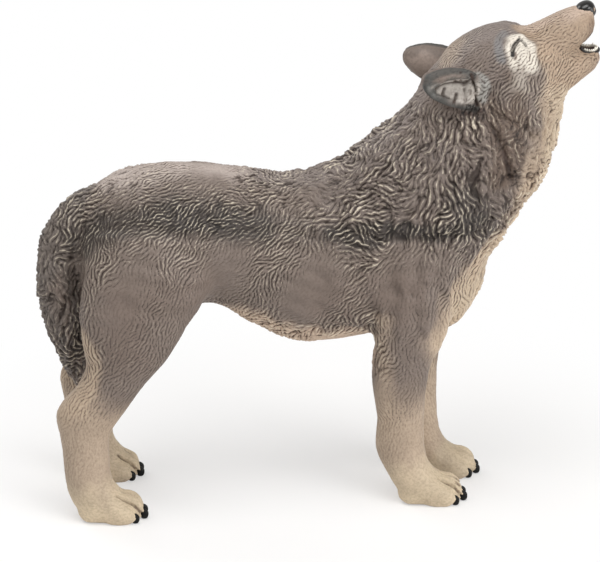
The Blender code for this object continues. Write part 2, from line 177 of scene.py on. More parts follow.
class Skin:
    """A mesh as arrays: points in millimetres, quads, and the edges between points."""

    def __init__(self, mesh):
        count = len(mesh.vertices)
        flat = np.empty(count * 3, np.float32)
        mesh.vertices.foreach_get("co", flat)
        self.points = flat.reshape(-1, 3).astype(float) / MM
        flat = np.empty(len(mesh.loops), np.int32)
        mesh.loops.foreach_get("vertex_index", flat)
        self.quads = flat.reshape(-1, 4)
        flat = np.empty(len(mesh.edges) * 2, np.int32)
        mesh.edges.foreach_get("vertices", flat)
        self.edges = flat.reshape(-1, 2)
        self.degree = np.bincount(self.edges.ravel(), minlength=count)[:, None]

    def around(self, values):
        """The mean of each point's neighbours."""
        a, b = self.edges.T
        count = len(self.points)
        sums = [np.bincount(a, v[b], count) + np.bincount(b, v[a], count) for v in values.T]
        return np.stack(sums, 1) / self.degree

    def normals(self):
        """The direction out of the skin at each point."""
        a, b, c, d = (self.points[self.quads[:, k]] for k in range(4))
        faces = np.cross(c - a, d - b)
        total = np.zeros_like(self.points)
        for k in range(4):
            for axis in range(3):
                total[:, axis] += np.bincount(self.quads[:, k], faces[:, axis], len(total))
        return unit(total)

    def smooth(self, rounds):
        """Evens the surface out and keeps its volume."""
        for _ in range(rounds):
            for share in (0.5, -0.51):
                self.points += share * (self.around(self.points) - self.points)

    def levelled(self, rounds, share):
        """Where the points would lie if the skin were much smoother."""
        points = self.points
        for _ in range(rounds):
            points = points + share * (self.around(points) - points)
        return points

    def spread(self, values, rounds):
        """Numbers at the points, blended with their neighbours'."""
        values = values[:, None]
        for _ in range(rounds):
            values = 0.5 * values + 0.5 * self.around(values)
        return values[:, 0]


def remeshed(mesh, voxel):
    """An even skin of quads over a mesh."""
    thing = bpy.data.objects.new("form", mesh)
    bpy.context.scene.collection.objects.link(thing)
    modifier = thing.modifiers.new("Remesh", "REMESH")
    modifier.mode = "VOXEL"
    modifier.voxel_size = voxel * MM
    view = bpy.context.evaluated_depsgraph_get()
    made = bpy.data.meshes.new_from_object(thing.evaluated_get(view))
    bpy.data.objects.remove(thing)
    return made


def as_mesh(name, points, faces):
    """A mesh out of points in millimetres."""
    mesh = bpy.data.meshes.new(name)
    mesh.from_pydata((np.asarray(points) * MM).tolist(), [], faces)
    return mesh


# How the fur lies. Each row is a place on the right side, the way its hair points, and
# the length, width, height and curl of its locks. The left side is its mirror image.
FUR = (
    # muzzle and face
    ((38.6, 0.5, 84.0), (-1.0, 0.0, -0.35), 0.9, 0.50, 0.34, 0.8),
    ((43.6, 3.6, 82.5), (-0.7, 0.1, -0.75), 0.8, 0.50, 0.30, 0.8),
    ((39.6, 4.8, 80.0), (-0.75, 0.1, -0.65), 1.0, 0.52, 0.31, 0.8),
    ((45.1, 3.2, 77.0), (-0.7, 0.1, -0.6), 0.8, 0.50, 0.24, 0.8),
    ((39.6, 5.5, 74.8), (-0.5, 0.1, -0.9), 1.1, 0.54, 0.30, 0.8),
    ((30.6, 0.5, 83.0), (-1.0, 0.0, -0.1), 1.2, 0.50, 0.30, 0.7),
    ((32.6, 5.5, 81.0), (-0.8, 0.3, -0.6), 1.2, 0.46, 0.20, 0.6),
    ((31.1, 8.2, 78.0), (-0.55, 0.3, -0.8), 1.5, 0.50, 0.26, 0.7),
    ((35.6, 7.6, 76.0), (-0.45, 0.2, -0.9), 1.5, 0.52, 0.28, 0.7),
    ((32.6, 9.5, 73.0), (-0.1, 0.1, -1.0), 2.2, 0.62, 0.34, 0.9),
    ((26.6, 8.0, 79.0), (-0.8, 0.3, -0.6), 1.5, 0.52, 0.28, 0.8),
    ((22.6, 0.5, 79.5), (-0.9, 0.0, -0.5), 1.6, 0.55, 0.36, 0.7),
    # ears
    ((17.6, 10.4, 76.6), (0.6, 0.1, 0.7), 1.1, 0.50, 0.20, 0.8),
    ((25.6, 10.0, 77.0), (-0.3, 0.2, 0.9), 1.1, 0.50, 0.20, 0.8),
    ((21.6, 9.4, 74.6), (0.1, 0.2, -1.0), 1.2, 0.45, 0.08, 0.5),
    ((19.0, 7.6, 75.6), (-0.9, 0.1, -0.2), 1.1, 0.45, 0.12, 0.4),
    # throat and front of the ruff
    ((41.1, 0.5, 70.0), (-0.25, 0.0, -1.0), 1.8, 0.70, 0.46, 0.9),
    ((38.6, 5.5, 69.0), (-0.45, 0.4, -0.8), 1.9, 0.72, 0.48, 1.2),
    ((38.1, 4.0, 61.0), (-0.6, 0.5, -0.7), 2.2, 0.90, 0.64, 1.4),
    ((35.1, 6.0, 54.5), (-0.5, 0.5, -0.8), 2.3, 0.95, 0.72, 1.4),
    ((31.6, 5.0, 47.0), (-0.4, 0.5, -0.9), 2.5, 0.95, 0.72, 1.3),
    ((28.6, 4.0, 39.0), (-0.3, 0.0, -1.0), 2.4, 0.72, 0.40, 0.8),
    # side of the neck
    ((32.1, 10.8, 67.0), (0.45, 0.0, -0.8), 2.6, 0.85, 0.52, 1.3),
    ((33.6, 10.0, 60.0), (0.6, 0.0, -0.7), 2.5, 0.95, 0.60, 1.4),
    ((26.6, 11.0, 69.0), (0.15, 0.0, -1.0), 3.2, 0.90, 0.50, 0.9),
    ((21.6, 10.0, 66.0), (-0.25, 0.0, -1.0), 3.4, 1.05, 0.56, 0.8),
    ((26.1, 12.5, 57.0), (0.15, 0.0, -1.0), 3.4, 1.00, 0.58, 1.0),
    ((20.1, 12.0, 58.0), (-0.2, 0.0, -1.0), 3.6, 1.05, 0.58, 0.9),
    ((27.6, 11.5, 50.0), (0.1, 0.0, -1.0), 3.2, 0.95, 0.58, 1.0),
    ((20.6, 12.0, 49.5), (-0.25, 0.0, -1.0), 2.8, 0.92, 0.50, 0.6),
    ((15.1, 5.0, 67.0), (-0.75, 0.1, -0.65), 2.8, 0.80, 0.48, 0.6),
    ((10.1, 5.0, 62.5), (-0.85, 0.2, -0.5), 2.8, 0.90, 0.58, 0.9),
    # shoulder
    ((12.6, 11.3, 57.5), (-0.75, 0.0, -0.65), 2.8, 0.95, 0.60, 1.0),
    ((5.1, 8.0, 56.5), (-0.85, 0.1, -0.5), 2.7, 0.95, 0.62, 1.0),
    ((6.6, 11.0, 49.5), (-0.95, 0.0, -0.25), 2.6, 0.85, 0.56, 0.9),
    ((13.6, 12.0, 47.5), (-0.6, 0.0, -0.8), 2.4, 0.75, 0.36, 0.6),
    ((19.6, 11.5, 43.0), (-0.1, 0.0, -1.0), 2.2, 0.60, 0.26, 0.5),
    ((24.6, 9.0, 42.0), (0.15, 0.0, -1.0), 2.4, 0.62, 0.30, 0.5),
    ((13.1, 11.8, 41.0), (-0.3, 0.0, -0.95), 1.9, 0.60, 0.24, 0.5),
    # fore legs
    ((13.1, 11.5, 32.0), (-0.15, 0.0, -1.0), 2.2, 0.58, 0.22, 0.5),
    ((18.1, 9.0, 31.0), (0.1, 0.0, -1.0), 2.0, 0.55, 0.14, 0.3),
    ((8.8, 8.0, 34.0), (-0.45, 0.1, -1.0), 2.6, 0.85, 0.40, 0.8),
    ((9.6, 9.0, 27.0), (-0.45, 0.1, -1.0), 2.6, 0.85, 0.42, 0.8),
    ((13.1, 10.0, 21.0), (0.0, 0.0, -1.0), 1.6, 0.52, 0.19, 0.5),
    ((13.1, 9.3, 10.0), (0.1, 0.0, -1.0), 1.3, 0.50, 0.14, 0.4),
    ((18.6, 8.0, 5.0), (0.9, 0.1, -0.5), 1.3, 0.45, 0.06, 0.2),
    # back, flank and belly
    ((1.6, 3.0, 59.5), (-0.95, 0.1, -0.2), 2.5, 0.90, 0.60, 1.0),
    ((-7.4, 3.5, 58.0), (-1.0, 0.15, -0.05), 1.8, 0.66, 0.57, 0.9),
    ((-21.4, 3.0, 60.0), (-1.0, 0.15, 0.0), 1.5, 0.52, 0.28, 0.6),
    ((-32.4, 5.0, 57.5), (-0.9, 0.2, -0.45), 1.7, 0.58, 0.44, 0.7),
    ((-19.4, 8.5, 54.5), (-0.85, 0.2, -0.5), 1.7, 0.54, 0.46, 0.5),
    ((-6.9, 9.0, 51.5), (-0.75, 0.1, -0.6), 1.7, 0.56, 0.38, 0.6),
    ((-8.4, 10.5, 45.0), (-0.55, 0.0, -0.85), 2.2, 0.52, 0.33, 0.5),
    ((0.6, 11.5, 42.0), (-0.5, 0.0, -0.9), 2.0, 0.52, 0.27, 0.5),
    ((-19.4, 9.5, 44.0), (-0.6, 0.1, -0.8), 2.0, 0.56, 0.29, 0.5),
    ((-3.4, 10.0, 36.0), (-0.5, 0.0, -0.9), 2.2, 0.55, 0.24, 0.4),
    ((-3.4, 7.0, 32.0), (-0.6, 0.0, -0.9), 2.4, 0.95, 0.72, 1.0),
    ((2.6, 0.5, 28.5), (-1.0, 0.0, -0.1), 2.6, 0.75, 0.26, 0.4),
    # haunch and hind legs
    ((-32.4, 11.0, 50.0), (-0.55, 0.1, -0.85), 2.0, 0.58, 0.38, 0.8),
    ((-29.4, 13.0, 42.0), (-0.3, 0.0, -0.95), 1.9, 0.56, 0.27, 0.7),
    ((-38.9, 9.5, 44.0), (-0.45, 0.0, -0.9), 3.2, 0.75, 0.32, 0.8),
    ((-37.9, 10.0, 34.0), (-0.25, 0.0, -1.0), 3.0, 0.70, 0.28, 0.7),
    ((-23.4, 12.0, 38.5), (-0.2, 0.0, -1.0), 2.0, 0.55, 0.20, 0.5),
    ((-31.9, 13.0, 30.0), (-0.4, 0.0, -0.9), 2.0, 0.55, 0.22, 0.5),
    ((-39.9, 11.0, 23.0), (-0.5, 0.0, -0.85), 1.9, 0.55, 0.22, 0.5),
    ((-40.4, 12.0, 14.0), (0.0, 0.0, -1.0), 1.3, 0.50, 0.14, 0.4),
    ((-35.4, 12.0, 5.0), (0.9, 0.1, -0.5), 1.3, 0.45, 0.06, 0.2),
    # tail
    ((-39.9, 3.0, 55.0), (-0.7, 0.1, -0.7), 2.2, 0.75, 0.46, 0.7),
    ((-45.9, 3.0, 46.0), (-0.2, 0.0, -1.0), 3.2, 0.90, 0.52, 1.2),
    ((-44.9, 3.0, 36.0), (0.1, 0.0, -1.0), 3.2, 0.95, 0.55, 1.3),
    ((-42.4, 2.0, 26.0), (0.2, 0.0, -1.0), 3.2, 0.95, 0.50, 1.1),
)


def mirrored(points):
    """The same places on the right side. The left ear sits lower and further back than the right one."""
    spot = np.stack([points[:, 0], np.abs(points[:, 1]), points[:, 2]], 1)
    near = 1 - smoothstep(6.0, 9.5, np.linalg.norm(points - LEFT_EAR, axis=1))
    return spot - near[:, None] * LEFT_EAR_SHIFT


def fur_at(points):
    """The direction of the fur and its locks' length, width, height and curl at each point."""
    places = np.array([row[0] for row in FUR])
    ways = np.array([row[1] for row in FUR])
    sizes = np.array([row[2:] for row in FUR])
    side = np.where(points[:, 1] < 0, -1.0, 1.0)
    spot = mirrored(points)
    way = np.empty_like(points)
    size = np.empty((len(points), 4))
    for start in range(0, len(points), 40000):
        part = slice(start, start + 40000)
        gap = ((spot[part, None] - places[None]) ** 2).sum(2)
        weight = 1 / (gap + 1.5) ** 2
        weight /= weight.sum(1, keepdims=True)
        way[part] = weight @ ways
        size[part] = weight @ sizes
    way[:, 1] *= side
    return unit(way), size


def close_pairs(points, seeds, reach):
    """Batches of (seed, point) numbers, which together hold every pair closer than reach."""
    cells = np.floor(points / reach).astype(np.int64)
    low = cells.min(0) - 2
    size = cells.max(0) - low + 3

    def key(cell):
        x, y, z = (cell - low).T
        return (x * size[1] + y) * size[2] + z

    keys = key(cells)
    order = np.argsort(keys, kind="stable")
    keys = keys[order]
    home = np.floor(seeds / reach).astype(np.int64)
    for step in itertools.product((-1, 0, 1), repeat=3):
        wanted = key(home + np.array(step))
        first = np.searchsorted(keys, wanted, "left")
        count = np.searchsorted(keys, wanted, "right") - first
        seed = np.repeat(np.arange(len(seeds)), count)
        place = np.arange(count.sum()) - np.repeat(np.cumsum(count) - count, count)
        yield seed, order[np.repeat(first, count) + place]


def flow_at(points, normals, way, curl):
    """The way along the fur and the way across it, both on the skin, with the fur's waves."""
    turn = curl * (waves(points, 3.4, 11) + 0.45 * waves(points, 1.7, 12))
    ahead = unit(way - normals * (way * normals).sum(1, keepdims=True))
    side = np.cross(normals, ahead)
    ahead = ahead * np.cos(turn)[:, None] + side * np.sin(turn)[:, None]
    return ahead, np.cross(normals, ahead)


def strands(points, ahead, side, length, period, cover):
    """Even ridges of hair: short ripples that run along the fur, added up at every point.

    Returns where each point lies between two ridges, as an angle that is 0 on a crest and
    pi in a groove, and how clear the ripple is there, from 0 to 1.
    """
    chosen = np.flatnonzero(RANDOM.random(len(points)) < cover * COAT_VOXEL**2 / (length * period))
    phase = RANDOM.uniform(0, 2 * np.pi, len(chosen))
    lean = RANDOM.normal(0, 0.24, len(chosen))
    wide = RANDOM.uniform(0.8, 1.3, len(chosen))
    count = len(points)
    crest = np.zeros(count)
    slope = np.zeros(count)
    power = np.full(count, 1e-6)
    for low, high in ((0.0, 2.0), (2.0, 3.0), (3.0, 9.0)):
        group = np.flatnonzero((length[chosen] >= low) & (length[chosen] < high))
        if not len(group):
            continue
        reach = 0.72 * length[chosen[group]].max()
        for seed, point in close_pairs(points, points[chosen[group]], reach):
            seed = group[seed]
            home = chosen[seed]
            off = points[point] - points[home]
            along = 0.5 * ((ahead[home] + ahead[point]) * off).sum(1)
            across = 0.5 * ((side[home] + side[point]) * off).sum(1) + lean[seed] * along
            b = across / (period[home] * wide[seed])
            near = np.abs(b) < 1.5
            seed, point, b = seed[near], point[near], b[near]
            a = 2 * along[near] / length[home[near]]
            window = np.exp(-1.5 * a * a - 1.3 * b * b)
            turn = 2 * np.pi * b + phase[seed]
            crest += np.bincount(point, window * np.cos(turn), count)
            slope += np.bincount(point, window * np.sin(turn), count)
            power += np.bincount(point, window * window, count)
    clear = np.clip(1.9 * np.sqrt((crest**2 + slope**2) / power), 0, 1)
    return np.arctan2(slope, crest), clear


def lay_locks(points, normals, ahead, side, length, width, cover, bare):
    """Lays locks of fur over the skin like tiles, each over the root of the next.

    Returns how high the fur stands at each point, from 0 to 1, and a number that all
    the points of one lock share.
    """
    chance = cover * COAT_VOXEL**2 / (length * width)
    chosen = np.flatnonzero(RANDOM.random(len(points)) < chance * (1 - bare))
    own = RANDOM.random(len(chosen))
    length = length[chosen] * RANDOM.uniform(0.7, 1.3, len(chosen))
    width = width[chosen] * RANDOM.uniform(0.75, 1.25, len(chosen))
    middle = points[chosen] + ahead[chosen] * (length / 2)[:, None]
    best = np.zeros(len(points))
    relief = np.full(len(points), 0.22)
    number = np.zeros(len(points))
    for low, high in ((0.0, 2.2), (2.2, 3.4), (3.4, 9.0)):
        group = np.flatnonzero((length >= low) & (length < high))
        if not len(group):
            continue
        reach = 0.5 * length[group].max() + 0.3
        for seed, point in close_pairs(points, middle[group], reach):
            seed = group[seed]
            home = chosen[seed]
            off = points[point] - points[home]
            a = 0.5 * ((ahead[home] + ahead[point]) * off).sum(1) / length[seed]
            inside = (a > 0) & (a < 1)
            seed, point, home, off, a = seed[inside], point[inside], home[inside], off[inside], a[inside]
            b = 0.5 * ((side[home] + side[point]) * off).sum(1)
            taper = (0.45 + 0.55 * smoothstep(0, 0.35, a)) * (1 - 0.93 * smoothstep(0.45, 1.0, a))
            u = 2 * b / (width[seed] * taper)
            facing = (normals[point] * normals[home]).sum(1)
            inside = (np.abs(u) < 1) & (facing > 0.2)
            seed, point, a, u = seed[inside], point[inside], a[inside], u[inside]
            rank = 0.55 * own[seed] + 0.45 * a + 1e-3
            order = np.argsort(rank, kind="stable")
            seed, point, a, u, rank = seed[order], point[order], a[order], u[order], rank[order]
            better = rank > best[point]
            seed, point, a, u, rank = seed[better], point[better], a[better], u[better], rank[better]
            best[point] = rank
            relief[point] = (1 - u * u) ** 0.7 * (0.35 + 0.65 * smoothstep(0, 0.7, a))
            number[point] = own[seed]
    return relief, number


# Lines and bumps pressed into the form before the fur: the points of the stroke on the
# right side, its radius, and how far the surface rises.
CARVED = (
    # brow, eye and cheek
    (((33.3, 6.9, 80.1), (33.2, 8.0, 79.0)), 1.5, 0.35),
    (((31.0, 6.0, 81.4), (32.0, 4.6, 82.2), (33.6, 3.6, 82.0)), 1.1, 0.28),
    (((35.4, 3.0, 82.0),), 1.8, -0.3),
    (((31.5, 7.0, 80.4), (31.9, 6.3, 81.0), (32.4, 5.7, 81.3), (33.0, 4.5, 81.4), (33.5, 4.8, 81.1),
      (34.0, 5.8, 80.8)), 0.42, -0.42),
    # the ruff's lower edge
    (((3.6, 10.6, 50.6), (9.6, 11.6, 50.0), (16.0, 12.0, 49.8), (22.0, 12.2, 50.2),
      (27.0, 11.0, 50.2)), 1.3, -0.5),
    # folds of the neck
    (((25.4, 9.8, 70.9), (27.9, 10.6, 68.3), (29.7, 11.3, 64.7), (31.0, 11.2, 60.3)), 1.0, -0.5),
    (((31.0, 11.2, 60.3), (31.6, 10.4, 57.0), (32.6, 8.7, 54.0)), 0.8, -0.35),
    (((22.0, 9.4, 69.7), (23.0, 10.6, 66.4), (24.2, 11.8, 63.3), (24.0, 12.0, 60.0)), 0.8, -0.42),
    (((27.6, 10.0, 71.5), (30.2, 10.8, 69.6), (32.6, 10.4, 68.9)), 0.7, -0.3),
    # muzzle
    (((42.1, 3.4, 80.6),), 2.2, 0.25),
    (((46.8, 2.4, 79.6),), 1.4, 0.20),
    (((43.6, 2.6, 86.0), (43.4, 2.9, 84.6), (44.6, 2.6, 83.2)), 0.6, -0.22),
    # ear: the rim stands up round a cup with folds in it
    (((16.9, 10.8, 75.4), (17.4, 10.7, 77.2), (19.3, 10.3, 78.0), (21.3, 9.9, 78.1), (23.3, 9.5, 77.9),
      (25.2, 9.3, 77.1), (26.6, 9.1, 75.7), (27.0, 9.1, 73.9), (26.4, 9.4, 72.4), (25.2, 9.6, 71.8),
      (23.0, 9.8, 71.9), (20.3, 10.4, 72.8), (18.0, 10.7, 73.8), (16.9, 10.8, 75.4)), 0.85, 0.5),
    (((18.7, 9.9, 75.1), (20.2, 9.3, 75.6), (22.3, 8.9, 75.7), (23.6, 8.8, 75.5),
      (24.3, 9.2, 76.1)), 0.5, -0.6),
    (((24.4, 9.4, 77.0), (24.8, 9.2, 75.5), (25.3, 9.6, 74.1), (25.5, 9.5, 72.0)), 0.5, -0.85),
    (((20.1, 9.2, 74.8), (19.8, 9.6, 73.9), (20.7, 9.8, 73.3)), 0.34, -0.4),
    (((22.1, 9.2, 73.9), (21.6, 10.4, 72.7)), 0.36, -0.45),
    (((23.4, 8.9, 74.5), (23.5, 10.4, 72.9)), 0.34, -0.4),
    (((24.4, 9.0, 74.4), (24.4, 10.1, 72.6)), 0.26, -0.25),
    (((21.4, 9.6, 77.1), (21.9, 9.4, 76.2)), 0.3, -0.35),
    (((22.5, 9.6, 77.3), (22.8, 9.3, 76.3)), 0.3, -0.35),
    (((26.3, 9.0, 76.1), (26.9, 8.8, 75.4)), 0.3, -0.35),
)
TOE_GROOVES = tuple(
    (((heel + 6.6, across, 4.4), (heel + 9.4, across, 3.0), (heel + 11.2, across, 0.8)), 0.42, -0.45)
    for heel, middle in ((13.4, 5.7), (17.0, 5.7), (-41.4, 9.0))
    for across in (middle - 1.95, middle, middle + 1.95)
)

# Fine lines of paint on top of the coat: colour, strength, points on the right side, radius
MARKS = (
    (EAR_GREY, 0.95, ((16.9, 10.8, 75.4), (17.4, 10.7, 77.2), (19.3, 10.3, 78.0), (21.3, 9.9, 78.1),
                      (23.3, 9.5, 77.9), (25.0, 9.3, 77.2)), 0.8),
    (EAR_GREY, 0.95, ((25.2, 9.6, 71.5), (23.0, 9.8, 71.5), (20.3, 10.4, 72.3), (18.0, 10.7, 73.4),
                      (16.9, 10.8, 75.0)), 0.95),
    (EAR_GREY, 0.8, ((18.0, 10.6, 74.6), (18.6, 10.2, 75.8)), 0.9),
    # Painted highlight: light bands along the ear's dark rim
    (EAR_RIM_HIGHLIGHT, 0.85, ((25.9, 8.6, 76.8), (26.7, 8.7, 75.8), (27.0, 8.8, 74.6), (26.4, 9.2, 72.9)), 1.0),
    (EAR_RIM_HIGHLIGHT, 0.6, ((17.2, 10.9, 75.8), (17.5, 10.8, 74.6), (18.6, 10.6, 73.6)), 0.45),
    (EAR_PALE, 0.75, ((20.4, 9.9, 76.5), (22.0, 9.6, 76.8), (23.5, 9.4, 76.7)), 0.55),
    (EAR_BROWN, 0.9, ((18.7, 9.9, 75.1), (20.2, 9.3, 75.6), (22.3, 8.9, 75.7), (23.6, 8.8, 75.5)), 0.34),
    (EAR_BROWN, 1.0, ((23.4, 8.8, 75.5), (24.3, 9.2, 76.2)), 0.5),
    (EAR_BROWN, 1.0, ((24.4, 9.4, 77.0), (24.8, 9.2, 75.5), (25.3, 9.6, 74.1), (25.5, 9.5, 72.0)), 0.38),
    (EAR_BROWN, 0.85, ((20.1, 9.2, 74.8), (19.8, 9.6, 73.9), (20.7, 9.8, 73.3)), 0.32),
    (EAR_BROWN, 0.85, ((22.1, 9.2, 73.9), (21.6, 10.4, 72.7)), 0.32),
    (EAR_BROWN, 0.75, ((23.4, 8.9, 74.5), (23.5, 10.4, 72.9)), 0.3),
    (EAR_BROWN, 0.45, ((24.4, 9.0, 74.4), (24.4, 10.1, 72.6)), 0.22),
    (EAR_BROWN, 0.75, ((21.4, 9.6, 77.1), (21.9, 9.4, 76.2)), 0.26),
    (EAR_BROWN, 0.75, ((22.5, 9.6, 77.3), (22.8, 9.3, 76.3)), 0.26),
    (EAR_BROWN, 0.6, ((23.5, 9.3, 77.1), (23.7, 9.2, 76.5)), 0.26),
    (EAR_BROWN, 0.7, ((26.1, 9.0, 76.3), (26.9, 8.8, 75.5)), 0.26),
    (EAR_BROWN, 0.6, ((27.6, 8.9, 74.4), (27.0, 9.1, 72.9), (26.4, 9.5, 72.2)), 0.3),
    # Painted shadow: a dark line along the foot of the ear's lower rim, where the ear meets the head
    (EAR_BROWN, 0.85, ((26.4, 9.6, 71.1), (25.0, 9.8, 70.6), (23.0, 10.0, 70.8), (20.6, 10.6, 71.6)), 0.45),
    # Brown lines along the neck's folds: brown paint in the creases, deepened as painted shade so that the
    # folds read sharper
    (EAR_BROWN, 0.65, ((25.4, 9.8, 70.4), (27.9, 10.6, 68.3), (29.7, 11.3, 64.7), (31.0, 11.2, 60.3)), 0.5),
    (EAR_BROWN, 0.45, ((31.0, 11.2, 60.3), (31.6, 10.4, 57.0), (32.6, 8.7, 54.0)), 0.34),
    (EAR_BROWN, 0.5, ((22.0, 9.4, 69.2), (22.6, 10.2, 67.6), (23.4, 10.6, 66.4), (24.2, 11.8, 63.3)), 0.36),
    (EYE_BROWN, 0.75, ((32.0, 7.4, 80.0), (31.9, 8.0, 79.2)), 0.26),
    (EYE_BROWN, 0.65, ((32.8, 7.5, 79.8), (32.6, 8.2, 78.9)), 0.24),
    (EYE_BROWN, 0.65, ((33.6, 7.4, 79.8), (33.4, 8.1, 78.9)), 0.22),
    (EYE_BROWN, 0.6, ((34.3, 6.9, 79.9), (34.2, 7.7, 79.1)), 0.22),
    (EYE_BROWN, 0.5, ((32.4, 8.5, 78.4), (32.3, 8.9, 77.6)), 0.22),
    (EYE_BROWN, 0.5, ((33.3, 8.5, 78.3), (33.1, 9.0, 77.5)), 0.22),
    (BLACK, 1.0, ((31.5, 7.6, 79.7), (31.6, 6.9, 80.4), (31.9, 6.3, 81.0), (32.3, 5.8, 81.3)), 0.42),
    (BLACK, 1.0, ((32.3, 5.8, 81.3), (33.0, 4.5, 81.4), (33.4, 4.7, 81.1), (33.9, 5.6, 80.8)), 0.36),
    # The inside of the mouth: its dark red paint, darkened as painted shade at the hinge, low inside and at
    # the corners
    (MOUTH, 1.0, ((43.0, 0.0, 79.0), (44.6, 0.0, 79.4)), 1.7),
    (MOUTH, 0.9, ((44.6, 0.0, 78.2), (46.4, 0.0, 78.4)), 1.3),
    (MOUTH, 0.9, ((43.4, 1.7, 79.3), (44.3, 2.0, 78.5)), 0.5),
    (MOUTH, 0.7, ((44.3, 2.0, 80.2), (45.2, 2.0, 81.8)), 0.3),
)

